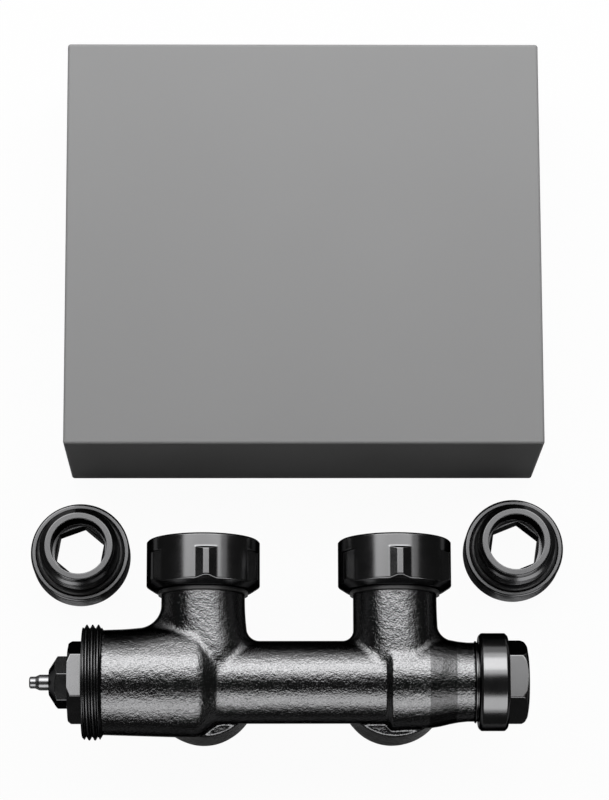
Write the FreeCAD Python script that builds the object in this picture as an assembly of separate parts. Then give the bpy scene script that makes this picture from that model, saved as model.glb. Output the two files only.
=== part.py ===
import FreeCAD, Part
import math
import os

# Radiator h-block valve: a cast two-pipe connection block with a thermostatic insert,
# a lockable return, two union nuts, a closing cap, a design cover and two nipples.
# All sizes are in millimetres. The block is modelled about its own long axis:
# x runs along the block, y towards the radiator, z away from the wall.

# Standard connection sizes
port_pitch = 50.0            # distance between the flow and the return connection
connector_thread_radius = 13.22   # G3/4 outside thread
connector_thread_depth = 1.16     # G3/4 thread, from crest to root
radiator_thread_radius = 10.48    # G1/2 outside thread
radiator_thread_depth = 1.16      # G1/2 thread, from crest to root
head_thread_radius = 15.0    # M30 thread that carries the thermostatic head

# Clearances
running_gap = 0.08           # turning and sliding pieces, on the radius
seat_gap = 0.03              # pieces that rest against each other
screw_gap = 0.05             # screwed-in pieces, on the radius

# Cast block
tube_radius = 10.73
tube_wall = 3.2
chamber_radius = 14.35       # thermostatic chamber beside the flow connection
chamber_root_radius = 13.6   # the same chamber, behind the head thread
chamber_wall = 4.8
chamber_reach = 25.8         # from the flow connection to the head thread
shoulder_length = 4.5
head_thread_length = 5.4
thread_chamfer = 0.8
return_radius = 12.5         # return chamber beside the return connection
return_taper = 0.6           # what the return chamber loses before it slims down
return_wall = 4.55
return_step_length = 1.7     # slope between tube and return chamber
return_step_lead = 0.4       # end of that slope, before the return connection
return_reach = 9.3           # straight part of the return chamber
neck_radius = 10.25
neck_length = 9.4            # slimming part between return chamber and lip
lip_height = 0.45
lip_width = 2.2
neck_thread_length = 5.1
branch_radius = 10.9
branch_wall = 4.3
boss_radius = 14.0
boss_set_back = 1.2          # front face of the wall bosses, behind the block's axis
boss_depth = 21.3            # back face of the wall bosses, behind the block's axis
boss_rounding = 0.8
stub_length = 7.7            # G3/4 stub behind each boss
stub_wall = 5.6
stub_cone_depth = 3.6
stub_cone_widening = 1.6
floor_thickness = 1.4        # between a connection bore and the chamber under it

# Valve seats
seat_wall = 3.6
seat_offset = 1.4            # outer face of a seat wall, beyond the connection's axis
seat_bore_radius = 5.6
seat_lip_width = 1.0
seat_lip_height = 0.6
passage_half_width = 4.5
passage_length = 4.5
room_length = 8.0
bypass_radius = 3.6

# Union nuts
nut_start = 23.8             # underside of the nut, from the block's axis
nut_height = 13.2
nut_collar_height = 3.7
nut_wall = 2.74
nut_flats = 28.0
nut_corner_radius = 15.8
nut_rib_chamfer = 1.8
nut_rib_run_out = 0.6
nut_edge = 0.5
nut_mouth_chamfer = 0.7
nut_relief = 1.1
sleeve_height = 5.8          # part of the nut that turns on the branch
wire_radius = 0.75
wire_opening = 24.0          # degrees left open in the wire ring
stop_ring_height = 0.95
stop_ring_width = 0.8
branch_seal_width = 2.0
branch_seal_height = 0.8

# Thermostatic insert
insert_flats = 19.0
insert_head = 3.7
insert_bevel = 0.85
insert_turn = 12.0           # degrees
insert_depth = 14.2          # how far the housing reaches into the chamber
spring_room_radius = 6.5
gland_flats = 12.0
gland_head = 5.0
gland_shank_radius = 4.85
gland_shank = 4.9
gland_turn = 15.0            # degrees
gland_face_radius = 3.3
gland_cone = 2.3
pin_radius = 2.05
pin_tip_radius = 1.55
pin_reach = 5.1              # from the gland nut's face to the pin's tip
pin_tip_length = 1.6
pin_taper = 1.1
pin_guide = 2.0
spindle_radius = 2.6
spring_collar_radius = 5.2
spring_collar = 1.2
spring_wire_radius = 0.5
spring_turns = 4.5
guide_plate = 1.6
cage_wall = 1.5
cage_windows = 6
window_angle = 34.0          # degrees
valve_stroke = 2.2
disc_radius = 7.0
disc_thickness = 1.6
carrier_wall = 0.4
carrier_thickness = 1.4
stud_radius = 1.5
disc_nut_flats = 5.5
disc_nut_height = 1.5

# Sealing rings
cord_sides = 8               # flat sides that stand for a round cord
seal_radius = 0.85           # cord of the insert's and the nipples' sealing rings
small_seal_radius = 0.65     # cord of the rings on pin, spindle and bypass plug

# Return shut-off
housing_start = 9.5          # inner end of the return housing, beyond the seat wall
housing_reach = 2.4          # part of the return housing that stands out of the neck
housing_head_radius = 6.9
shutoff_radius = 4.6
shutoff_recess = 0.6
shutoff_stroke = 2.4
shutoff_disc_radius = 6.6
shutoff_disc = 1.6
shutoff_plate = 1.6
shutoff_stem_radius = 2.2
key_flats = 5.0              # socket for the adjusting key
key_depth = 5.0
bypass_plug_length = 10.0
bypass_slot = 1.2

# Closing cap
cap_radius = 12.7
cap_skirt = 7.6
cap_start = 0.6              # gap between the lip and the cap
cap_edge = 0.75
cap_hex_flats = 19.0
cap_hex = 5.5
cap_turn = 6.5               # degrees
cap_dome = 1.7
cap_face_radius = 8.6
cap_top = 2.4
cap_room_radius = 8.2
cap_gasket = 1.0

# Design cover
cover_width = 124.8
cover_height = 108.6
cover_depth = 45.2
cover_wall = 2.2
cover_edge = 0.8
cover_offset = 1.25          # centre of the cover beside the middle of the block
cover_distance = 59.8        # lower edge of the cover, from the block's axis
cover_axis_depth = 22.0      # block's axis behind the cover's front wall, when fitted
cover_axis_drop = 40.0       # block's axis below the cover's upper edge, when fitted
nipple_notch_gap = 1.2
head_notch_gap = 2.5
clip_spacing = 26.0
clip_width = 5.0
clip_wall = 3.0
clip_gap = 0.2
clip_wrap = 4.0              # how far the clips reach behind the tube's axis
clip_mouth = 0.9             # opening of the clips as a share of the tube's width
rib_height = 6.0
rib_wall = 1.6

# Connection nipples
nipple_left_x = -58.2
nipple_left_y = 37.7
nipple_right_x = 57.8
nipple_right_y = 38.8
nipple_left_turn = 8.0       # degrees
nipple_right_turn = 22.0     # degrees
nipple_base = 9.5            # height of the G3/4 end
nipple_tube = 10.0           # height of the G1/2 end
nipple_edge = 0.8
nipple_shoulder = 1.4
nipple_recess = 0.9
nipple_undercut = 0.5
nipple_chamfer = 1.5
nipple_wall = 3.1
nipple_key_flats = 12.0
nipple_key_length = 6.0
nipple_cone_depth = 5.5

# Places that follow from the sizes above
flow_x = -port_pitch / 2
return_x = port_pitch / 2
axis_height = boss_depth + stub_length
chamber_bore = chamber_radius - chamber_wall
bore_floor = chamber_bore + floor_thickness
thread_root_x = flow_x - chamber_reach
thread_end_x = thread_root_x - head_thread_length
flow_seat_x = flow_x - seat_offset
return_bore = return_radius - return_wall
return_seat_x = return_x + seat_offset
return_taper_x = return_x + return_reach
lip_x = return_taper_x + neck_length
neck_x = lip_x + lip_width
neck_end_x = neck_x + neck_thread_length
room_radius = tube_radius - tube_wall
branch_bore = branch_radius - branch_wall
stub_bore = connector_thread_radius - stub_wall
sleeve_end = nut_start + sleeve_height
nut_end = nut_start + nut_height
nut_thread_radius = connector_thread_radius - connector_thread_depth
nut_radius = nut_thread_radius + nut_wall
wire_y = nut_start + sleeve_height / 3
wire_groove = wire_radius + running_gap
neck_thread_radius = neck_radius
cap_x = neck_x + cap_start
cap_hex_x = cap_x + cap_skirt
cap_end_x = cap_hex_x + cap_hex
cap_shoulder_x = neck_end_x + cap_gasket + 2 * seat_gap
gland_x = thread_end_x - insert_head
housing_end_x = thread_end_x + insert_depth
plate_end_x = housing_end_x + guide_plate
pin_end_x = gland_x + gland_shank + pin_guide + seat_gap
lip_face_x = flow_seat_x - seat_lip_height
disc_face_x = lip_face_x - valve_stroke - seat_gap
collar_x = pin_end_x + 1.3


def vector(x, y, z):
    return FreeCAD.Vector(x, y, z)


def turned(points, direction):
    """Solid turned about an axis through the origin, from (along, radius) points."""
    corners = [vector(radius, 0, along) for along, radius in points]
    corners.append(corners[0])
    solid = Part.Face(Part.makePolygon(corners)).revolve(vector(0, 0, 0), vector(0, 0, 1), 360)
    return aimed(Part.Solid(solid.Shells[0]), direction)


def aimed(solid, direction):
    """Turn a solid that is built along z so that it runs along the given direction."""
    turn = FreeCAD.Rotation(vector(0, 0, 1), direction)
    return solid.transformed(FreeCAD.Placement(vector(0, 0, 0), turn).toMatrix())


along_x = vector(1, 0, 0)
along_y = vector(0, 1, 0)
along_z = vector(0, 0, 1)
backwards = vector(0, 0, -1)


def moved(solid, x, y, z):
    return solid.translated(vector(x, y, z))


def ring(outer, inner, start, end, direction):
    """Plain tube between two places on its axis."""
    return turned([(start, inner), (start, outer), (end, outer), (end, inner)], direction)


def rod(radius, start, end, direction):
    """Plain round bar between two places on its axis."""
    return turned([(start, 0), (start, radius), (end, radius), (end, 0)], direction)


def cord_section(radius, cord_radius, place):
    """Section of a round cord, drawn with a few flat sides so that its mesh stays light."""
    corners = []
    for number in range(cord_sides + 1):
        angle = math.radians(360 / cord_sides * number)
        corners.append(vector(radius + cord_radius * math.cos(angle), 0, place + cord_radius * math.sin(angle)))
    return Part.Face(Part.makePolygon(corners))


def cord_ring(radius, cord_radius, place, direction):
    """Sealing ring with a round cord."""
    solid = cord_section(radius, cord_radius, place).revolve(vector(0, 0, 0), vector(0, 0, 1), 360)
    return aimed(Part.Solid(solid.Shells[0]), direction)


def hex_bar(flats, start, end, turn, direction):
    """Hexagonal bar by its width across flats; turn is in degrees."""
    corner = flats / 2 / math.cos(math.radians(30))
    corners = []
    for number in range(7):
        angle = math.radians(turn + 60 * number)
        corners.append(vector(corner * math.cos(angle), corner * math.sin(angle), start))
    bar = Part.Face(Part.makePolygon(corners)).extrude(vector(0, 0, end - start))
    return aimed(bar, direction)


def joined(solids):
    return solids[0].multiFuse(solids[1:]).removeSplitter()


# Cast block

def block_of_revolution():
    """The parts of the casting that are round about its long axis."""
    wall = chamber_radius - tube_radius
    start_x = flow_x - seat_gap
    bend_x = start_x + shoulder_length * math.sin(math.radians(45))
    bend_r = tube_radius + wall * math.cos(math.radians(45))
    slim_r = return_radius - return_taper
    thread_x = thread_end_x + thread_chamfer
    relief_x = thread_root_x - thread_chamfer
    lip_r = neck_radius + lip_height
    half_neck_x = return_taper_x + neck_length / 2
    half_neck_r = neck_radius + (slim_r - neck_radius) * 0.28
    outline = [(thread_end_x, 0), (thread_end_x, head_thread_radius - thread_chamfer),
               (thread_x, head_thread_radius), (relief_x, head_thread_radius),
               (thread_root_x, chamber_root_radius), (start_x, chamber_radius)]
    edges = [Part.makeLine(vector(*outline[i], 0), vector(*outline[i + 1], 0)) for i in range(5)]
    shoulder_end = vector(start_x + shoulder_length, tube_radius, 0)
    bend = Part.Arc(vector(start_x, chamber_radius, 0), vector(bend_x, bend_r, 0), shoulder_end)
    edges.append(bend.toShape())
    step_x = return_x - return_step_lead
    ramp = vector(step_x - return_step_length, tube_radius, 0)
    edges.append(Part.makeLine(shoulder_end, ramp))
    edges.append(Part.makeLine(ramp, vector(step_x, return_radius, 0)))
    edges.append(Part.makeLine(vector(step_x, return_radius, 0), vector(return_taper_x, slim_r, 0)))
    slimming = Part.BSplineCurve()
    slimming.interpolate([vector(return_taper_x, slim_r, 0), vector(half_neck_x, half_neck_r, 0),
                          vector(lip_x, neck_radius, 0)])
    edges.append(slimming.toShape())
    outline = [(lip_x, neck_radius), (lip_x + lip_height, lip_r), (neck_x, lip_r),
               (neck_x, neck_thread_radius), (neck_end_x, neck_thread_radius), (neck_end_x, 0),
               (thread_end_x, 0)]
    edges += [Part.makeLine(vector(*outline[i], 0), vector(*outline[i + 1], 0)) for i in range(6)]
    solid = Part.Face(Part.Wire(edges)).revolve(vector(0, 0, 0), vector(1, 0, 0), 360)
    return Part.Solid(solid.Shells[0])


def branch(x):
    """Spigot towards the radiator, with the groove for the wire ring."""
    groove_r = branch_radius - wire_groove
    profile = [(0, 0), (0, branch_radius), (wire_y - wire_groove, branch_radius),
               (wire_y - wire_groove, groove_r), (wire_y + wire_groove, groove_r),
               (wire_y + wire_groove, branch_radius), (sleeve_end - nut_edge, branch_radius),
               (sleeve_end, branch_radius - nut_edge), (sleeve_end, 0)]
    return moved(turned(profile, along_y), x, 0, 0)


def wall_boss(x):
    """Boss towards the wall and the G3/4 stub behind it."""
    rounding = boss_rounding
    thread_start = boss_depth + thread_chamfer
    end = boss_depth + stub_length
    profile = [(boss_set_back, 0), (boss_set_back, boss_radius - rounding),
               (boss_set_back + rounding, boss_radius), (boss_depth - rounding, boss_radius),
               (boss_depth, boss_radius - rounding), (boss_depth, connector_thread_radius - thread_chamfer),
               (thread_start, connector_thread_radius - thread_chamfer),
               (thread_start, connector_thread_radius), (end - thread_chamfer, connector_thread_radius),
               (end, connector_thread_radius - thread_chamfer), (end, 0)]
    return moved(turned(profile, backwards), x, 0, 0)


def passage(start_x, end_x, start, end, towards_wall):
    """Slot from a chamber on the block's axis to the bore of a connection."""
    box = Part.makeBox(end_x - start_x, 2 * passage_half_width, end - start)
    box = moved(box, start_x, -passage_half_width, start)
    angle = 180 if towards_wall else -90
    return box.rotated(vector(0, 0, 0), vector(1, 0, 0), angle)


def seat_hollow(mouth_x, bore, seat_x, side):
    """Chamber, raised seat and the room behind the seat, as the space they leave.

    side is 1 where the seat lies towards +x from the mouth, and -1 on the other side.
    """
    lip_r = seat_bore_radius + seat_lip_width
    lip = seat_x - side * seat_lip_height
    inside = seat_x + side * seat_wall
    end = inside + side * room_length
    return turned([(mouth_x, 0), (mouth_x, bore), (seat_x, bore), (seat_x, lip_r), (lip, lip_r),
                   (lip, seat_bore_radius), (inside, seat_bore_radius), (inside, room_radius),
                   (end, room_radius), (end, 0)], along_x)


def connection_port():
    """Bore of a wall connection, with the cone that takes the pipe's end."""
    end = boss_depth + stub_length
    cone_r = stub_bore + stub_cone_widening
    return turned([(bore_floor, 0), (bore_floor, stub_bore), (end - stub_cone_depth, stub_bore),
                   (end, cone_r), (end + 1, cone_r), (end + 1, 0)], backwards)


def valve_body():
    solids = [block_of_revolution()]
    for x in (flow_x, return_x):
        solids.append(branch(x))
        solids.append(wall_boss(x))
    body = joined(solids)
    flow_inside = flow_seat_x + seat_wall
    return_inside = return_seat_x - seat_wall
    beside_lip = seat_bore_radius + seat_lip_width + running_gap
    cuts = [seat_hollow(thread_end_x - 1, chamber_bore, flow_seat_x, 1),
            seat_hollow(neck_end_x + 1, return_bore, return_seat_x, -1),
            rod(bypass_radius, flow_inside, return_inside, along_x),
            passage(flow_seat_x - passage_length, flow_seat_x, beside_lip, bore_floor + 1, False),
            passage(return_seat_x, return_seat_x + passage_length, beside_lip, bore_floor + 1, False),
            passage(flow_inside, flow_inside + passage_length, 0, bore_floor + 1, True),
            passage(return_inside - passage_length, return_inside, 0, bore_floor + 1, True)]
    for x in (flow_x, return_x):
        cuts.append(moved(rod(branch_bore, bore_floor, sleeve_end + 1, along_y), x, 0, 0))
        cuts.append(moved(connection_port(), x, 0, 0))
    for cut in cuts:
        body = body.cut(cut)
    return body


# Thermostatic insert

def insert_housing():
    """Screwed housing with the hexagon that shows at the head thread."""
    shank_r = chamber_bore - screw_gap
    groove_x = housing_end_x - 3 * seal_radius
    groove_r = shank_r - 2 * seal_radius
    hexagon = hex_bar(insert_flats, gland_x, thread_end_x, insert_turn, along_x)
    corner = insert_flats / math.sqrt(3)
    bevel = [(gland_x, 0), (gland_x, corner - insert_bevel), (gland_x + insert_bevel, corner),
             (thread_end_x, corner), (thread_end_x, 0)]
    hexagon = hexagon.common(turned(bevel, along_x))
    shank = turned([(thread_end_x, 0), (thread_end_x, shank_r), (groove_x - seal_radius, shank_r),
                    (groove_x - seal_radius, groove_r), (groove_x + seal_radius, groove_r),
                    (groove_x + seal_radius, shank_r), (housing_end_x, shank_r),
                    (housing_end_x, 0)], along_x)
    shoulder_x = gland_x + gland_shank
    spring_x = shoulder_x + pin_guide
    hollow = turned([(gland_x - 1, 0), (gland_x - 1, gland_shank_radius + screw_gap),
                     (shoulder_x, gland_shank_radius + screw_gap), (shoulder_x, pin_radius + running_gap),
                     (spring_x, pin_radius + running_gap), (spring_x, spring_room_radius),
                     (housing_end_x + 1, spring_room_radius), (housing_end_x + 1, 0)], along_x)
    return joined([hexagon, shank]).cut(hollow)


def insert_housing_seal():
    groove_x = housing_end_x - 3 * seal_radius
    cord = seal_radius - seat_gap
    return cord_ring(chamber_bore - seat_gap - cord, cord, groove_x, along_x)


def gland_nut():
    face_x = gland_x - gland_head
    corner = gland_flats / math.sqrt(3)
    hexagon = hex_bar(gland_flats, face_x, gland_x, gland_turn, along_x)
    cone = turned([(face_x, 0), (face_x, gland_face_radius), (face_x + gland_cone, corner),
                   (gland_x, corner), (gland_x, 0)], along_x)
    shank = rod(gland_shank_radius, gland_x, gland_x + gland_shank - seat_gap, along_x)
    seal_room = gland_x + gland_shank - 3 * small_seal_radius
    bore = rod(pin_radius + running_gap, face_x - 1, gland_x + gland_shank, along_x)
    room = rod(pin_radius + 2 * small_seal_radius + seat_gap, seal_room, gland_x + gland_shank, along_x)
    return joined([hexagon.common(cone), shank]).cut(bore).cut(room)


def gland_seal():
    x = gland_x + gland_shank - 1.5 * small_seal_radius
    cord = small_seal_radius - seat_gap
    return cord_ring(pin_radius + running_gap + cord, cord, x, along_x)


def stem_pin():
    tip_x = gland_x - gland_head - pin_reach
    shank_x = tip_x + pin_tip_length + pin_taper
    edge = pin_tip_radius * 0.2
    return turned([(tip_x, 0), (tip_x, pin_tip_radius - edge), (tip_x + edge, pin_tip_radius),
                   (tip_x + pin_tip_length, pin_tip_radius), (shank_x, pin_radius),
                   (pin_end_x, pin_radius), (pin_end_x, 0)], along_x)


def stem_spindle():
    carrier_x = disc_face_x - disc_thickness - carrier_thickness
    end_x = disc_face_x + disc_nut_height
    return turned([(pin_end_x, 0), (pin_end_x, spindle_radius), (collar_x, spindle_radius),
                   (collar_x, spring_collar_radius), (collar_x + spring_collar, spring_collar_radius),
                   (collar_x + spring_collar, spindle_radius), (carrier_x, spindle_radius),
                   (carrier_x, stud_radius), (end_x, stud_radius), (end_x, 0)], along_x)


def return_spring():
    """Compression spring between the spindle's collar and the guide plate."""
    start = collar_x + spring_collar + spring_wire_radius + seat_gap
    end = housing_end_x - spring_wire_radius - seat_gap
    coil_r = (spring_collar_radius + spindle_radius) / 2
    helix = Part.makeHelix((end - start) / spring_turns, end - start, coil_r)
    section = cord_section(coil_r, spring_wire_radius, 0).OuterWire
    spring = Part.Wire(helix).makePipeShell([section], True, True)
    return aimed(moved(spring, 0, 0, start), along_x)


def guide_plate_ring():
    return ring(chamber_bore - screw_gap, spindle_radius + running_gap, housing_end_x, plate_end_x, along_x)


def preset_cage():
    """Slotted sleeve round the valve disc."""
    outer = chamber_bore - screw_gap
    cage = ring(outer, outer - cage_wall, plate_end_x, flow_seat_x - seat_gap, along_x)
    rim = cage_wall
    length = flow_seat_x - plate_end_x - 2 * rim
    for number in range(cage_windows):
        window = Part.makeCylinder(outer + 1, length, vector(0, 0, plate_end_x + rim), vector(0, 0, 1), window_angle)
        window = window.cut(Part.makeCylinder(outer - cage_wall - 1, length * 3, vector(0, 0, plate_end_x - length)))
        window = window.rotated(vector(0, 0, 0), vector(0, 0, 1), 360 / cage_windows * number)
        cage = cage.cut(aimed(window, along_x))
    return cage


def disc_carrier():
    """Cup that holds the soft valve disc."""
    back = disc_face_x - disc_thickness - carrier_thickness
    floor = disc_face_x - disc_thickness
    outer = disc_radius + carrier_wall
    return turned([(back, stud_radius), (back, outer), (disc_face_x - carrier_wall, outer),
                   (disc_face_x - carrier_wall, disc_radius), (floor, disc_radius),
                   (floor, stud_radius)], along_x)


def disc_seal():
    return ring(disc_radius, stud_radius, disc_face_x - disc_thickness, disc_face_x, along_x)


def disc_nut():
    nut = hex_bar(disc_nut_flats, disc_face_x, disc_face_x + disc_nut_height, 0, along_x)
    return nut.cut(rod(stud_radius, disc_face_x - 1, disc_face_x + disc_nut_height + 1, along_x))


# Bypass plug between the two rooms

def bypass_plug():
    half = bypass_plug_length / 2
    outer = bypass_radius - screw_gap
    groove_r = outer - 2 * small_seal_radius
    groove = small_seal_radius + running_gap
    plug = turned([(-half, 0), (-half, outer), (-groove, outer), (-groove, groove_r), (groove, groove_r),
                   (groove, outer), (half, outer), (half, 0)], along_x)
    slot = Part.makeBox(bypass_plug_length, bypass_slot, 3 * bypass_radius)
    return plug.cut(moved(slot, half - bypass_slot, -bypass_slot / 2, -1.5 * bypass_radius))


def bypass_plug_seal():
    cord = small_seal_radius - seat_gap
    return cord_ring(bypass_radius - seat_gap - cord, cord, 0, along_x)


# Return shut-off

def return_housing():
    """Screwed guide of the shut-off spindle, inside the neck."""
    start = return_seat_x + housing_start
    end = neck_end_x + housing_reach
    shank_r = return_bore - screw_gap
    groove_x = lip_x
    groove_r = shank_r - 2 * seal_radius
    profile = [(start, shutoff_radius + running_gap), (start, shank_r), (groove_x - seal_radius, shank_r),
               (groove_x - seal_radius, groove_r), (groove_x + seal_radius, groove_r),
               (groove_x + seal_radius, shank_r), (neck_end_x, shank_r), (neck_end_x, housing_head_radius),
               (end, housing_head_radius), (end, shutoff_radius + running_gap)]
    return turned(profile, along_x)


def return_housing_seal():
    cord = seal_radius - seat_gap
    return cord_ring(return_bore - seat_gap - cord, cord, lip_x, along_x)


def shutoff_plate_x():
    """Back of the shut-off plate while the return is open."""
    return return_seat_x + seat_lip_height + shutoff_stroke + seat_gap + shutoff_disc + shutoff_plate


def shutoff_cone():
    """Plate that presses the soft disc on the return seat, with its stem."""
    back = shutoff_plate_x()
    front = back - shutoff_plate
    stem_end = back + 2 * shutoff_stem_radius
    return turned([(front - shutoff_disc, 0), (front - shutoff_disc, shutoff_stem_radius),
                   (front, shutoff_stem_radius), (front, shutoff_disc_radius),
                   (back, shutoff_disc_radius - shutoff_recess), (back, shutoff_stem_radius),
                   (stem_end, shutoff_stem_radius), (stem_end, 0)], along_x)


def shutoff_seal():
    front = shutoff_plate_x() - shutoff_plate
    return ring(shutoff_disc_radius, shutoff_stem_radius, front - shutoff_disc, front, along_x)


def shutoff_spindle():
    """Threaded spindle with the socket for the adjusting key."""
    start = shutoff_plate_x() + seat_gap
    end = neck_end_x + housing_reach
    groove_x = (return_seat_x + housing_start + end) / 2
    groove_r = shutoff_radius - 2 * small_seal_radius
    groove = small_seal_radius + running_gap
    spindle = turned([(start, 0), (start, shutoff_radius), (groove_x - groove, shutoff_radius),
                      (groove_x - groove, groove_r), (groove_x + groove, groove_r),
                      (groove_x + groove, shutoff_radius), (end - shutoff_recess, shutoff_radius),
                      (end, shutoff_radius - shutoff_recess), (end, 0)], along_x)
    socket = hex_bar(key_flats, end - key_depth, end + 1, 0, along_x)
    stem = rod(shutoff_stem_radius + running_gap, start - 1, start + 2 * shutoff_stem_radius + seat_gap, along_x)
    return spindle.cut(socket).cut(stem)


def shutoff_spindle_seal():
    groove_x = (return_seat_x + housing_start + neck_end_x + housing_reach) / 2
    cord = small_seal_radius - seat_gap
    return cord_ring(shutoff_radius + running_gap - seat_gap - cord, cord, groove_x, along_x)


# Union nuts

def union_nut(x):
    """Round nut with six corner ribs, turning on the branch by its wire ring."""
    bore_r = branch_radius + running_gap
    groove_r = branch_radius + wire_groove
    relief_start = sleeve_end + running_gap
    relief_end = relief_start + nut_relief
    relief_r = connector_thread_radius + running_gap
    mouth_y = nut_end - nut_mouth_chamfer
    round_part = turned([(nut_start, 0), (nut_start, nut_radius - nut_edge), (nut_start + nut_edge, nut_radius),
                         (nut_end - nut_edge, nut_radius), (nut_end, nut_radius - nut_edge),
                         (nut_end, 0)], along_y)
    rib_end = nut_end - nut_collar_height
    ribs = hex_bar(nut_flats, nut_start, rib_end, 90, along_y)
    corner_drop = nut_corner_radius - nut_radius
    envelope = turned([(nut_start, 0), (nut_start, nut_radius - nut_edge),
                       (nut_start + nut_rib_chamfer, nut_corner_radius),
                       (rib_end - nut_rib_run_out, nut_corner_radius),
                       (rib_end, nut_corner_radius - corner_drop), (rib_end, 0)], along_y)
    hollow = turned([(nut_start - 1, 0), (nut_start - 1, bore_r), (wire_y - wire_groove, bore_r),
                     (wire_y - wire_groove, groove_r), (wire_y + wire_groove, groove_r),
                     (wire_y + wire_groove, bore_r), (relief_start, bore_r), (relief_start, relief_r),
                     (relief_end, relief_r), (relief_end, nut_thread_radius), (mouth_y, nut_thread_radius),
                     (nut_end, nut_thread_radius + nut_mouth_chamfer),
                     (nut_end + 1, nut_thread_radius + nut_mouth_chamfer), (nut_end + 1, 0)], along_y)
    nut = joined([round_part, ribs.common(envelope)]).cut(hollow)
    return moved(nut, x, 0, 0)


def wire_rings():
    """Open wire rings that hold the union nuts on the branches."""
    rings = []
    for x in (flow_x, return_x):
        section = cord_section(branch_radius + running_gap / 2, wire_radius, wire_y)
        coil = section.revolve(vector(0, 0, 0), vector(0, 0, 1), 360 - wire_opening)
        rings.append(moved(aimed(coil, along_y), x, 0, 0))
    return Part.Compound(rings)


def nut_stop_rings():
    """Snap rings right behind the union nuts."""
    end = nut_start - 3 * seat_gap
    rings = []
    for x in (flow_x, return_x):
        rings.append(moved(ring(branch_radius + stop_ring_width, branch_radius, end - stop_ring_height, end, along_y), x, 0, 0))
    return Part.Compound(rings)


def branch_seals():
    """Flat gaskets on the ends of the two branches."""
    outer = branch_radius - nut_edge
    rings = []
    for x in (flow_x, return_x):
        rings.append(moved(ring(outer, outer - branch_seal_width, sleeve_end, sleeve_end + branch_seal_height, along_y), x, 0, 0))
    return Part.Compound(rings)


# Closing cap

def cap_gasket_ring():
    start = neck_end_x + seat_gap
    return ring(neck_thread_radius - 4 * running_gap, cap_room_radius + running_gap, start, start + cap_gasket, along_x)


def closing_cap():
    corner = cap_hex_flats / math.sqrt(3)
    skirt = turned([(cap_x, 0), (cap_x, cap_radius - cap_edge), (cap_x + cap_edge, cap_radius),
                    (cap_hex_x - cap_edge, cap_radius), (cap_hex_x, cap_radius - cap_edge),
                    (cap_hex_x, 0)], along_x)
    hexagon = hex_bar(cap_hex_flats, cap_hex_x, cap_end_x, cap_turn, along_x)
    dome = turned([(cap_hex_x, 0), (cap_hex_x, corner), (cap_end_x - cap_dome, corner),
                   (cap_end_x - cap_dome / 3, (corner + cap_face_radius) / 2), (cap_end_x, cap_face_radius * 0.75),
                   (cap_end_x, 0)], along_x)
    hollow = turned([(cap_x - 1, 0), (cap_x - 1, neck_thread_radius + running_gap),
                     (cap_shoulder_x, neck_thread_radius + running_gap), (cap_shoulder_x, cap_room_radius),
                     (cap_end_x - cap_top, cap_room_radius), (cap_end_x - cap_top, 0)], along_x)
    return joined([skirt, hexagon.common(dome)]).cut(hollow)


# Design cover, laid down beside the block with its front face up

def notch(x, y, half_width, depth, direction):
    """U-shaped cut-out in a side wall, open at the cover's rear rim."""
    length = 4 * cover_wall
    cut = Part.makeCylinder(half_width, length, vector(0, 0, -length / 2))
    cut = cut.fuse(Part.makeBox(2 * half_width, depth + 1, length, vector(-half_width, 0, -length / 2)))
    turn = FreeCAD.Rotation(direction.cross(backwards), backwards, direction, "ZYX")
    cut = cut.transformed(FreeCAD.Placement(vector(0, 0, 0), turn).toMatrix())
    return moved(cut, x, y, depth)


def cover_shell():
    left = cover_offset - cover_width / 2
    top = cover_distance + cover_height
    axis_y = top - cover_axis_drop
    depth = cover_depth - cover_wall - cover_axis_depth
    box = Part.makeBox(cover_width, cover_height, cover_depth, vector(left, cover_distance, 0))
    edges = [edge for edge in box.Edges if edge.BoundBox.ZMax > cover_wall]
    box = box.makeFillet(cover_edge, edges)
    hollow = Part.makeBox(cover_width - 2 * cover_wall, cover_height - 2 * cover_wall, cover_depth - cover_wall + 1,
                          vector(left + cover_wall, cover_distance + cover_wall, -1))
    shell = box.cut(hollow)
    nipple_half = nut_corner_radius + nipple_notch_gap
    for side in (-1, 1):
        x = cover_offset + side * port_pitch / 2
        shell = shell.cut(notch(x, top - cover_wall / 2, nipple_half, depth, along_y))
    shell = shell.cut(notch(left + cover_wall / 2, axis_y, head_thread_radius + head_notch_gap, depth, along_x))
    ribs = []
    for share in (1, 2):
        y = cover_distance + (cover_height - cover_axis_drop) * share / 3
        ribs.append(Part.makeBox(cover_width - 2 * cover_wall, rib_wall, rib_height,
                                 vector(left + cover_wall, y, cover_depth - cover_wall - rib_height)))
    return joined([shell] + ribs)


def cover_clips():
    """Two saddles under the front wall that snap over the block's tube."""
    axis_y = cover_distance + cover_height - cover_axis_drop
    top_z = cover_depth - cover_wall
    axis_z = top_z - cover_axis_depth
    half = tube_radius + clip_gap + clip_wall
    clips = []
    for side in (-1, 1):
        x = cover_offset + side * clip_spacing / 2 - clip_width / 2
        plate = Part.makeBox(clip_width, 2 * half, top_z - axis_z + clip_wrap, vector(x, axis_y - half, axis_z - clip_wrap))
        saddle = Part.makeCylinder(tube_radius + clip_gap, clip_width * 3, vector(x - clip_width, axis_y, axis_z), vector(1, 0, 0))
        mouth_half = tube_radius * clip_mouth
        mouth = Part.makeBox(clip_width * 3, 2 * mouth_half, clip_wrap + tube_radius,
                             vector(x - clip_width, axis_y - mouth_half, axis_z - clip_wrap - tube_radius))
        clips.append(plate.cut(saddle).cut(mouth))
    return Part.Compound(clips)


# Connection nipples, standing on their G3/4 ends

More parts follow.
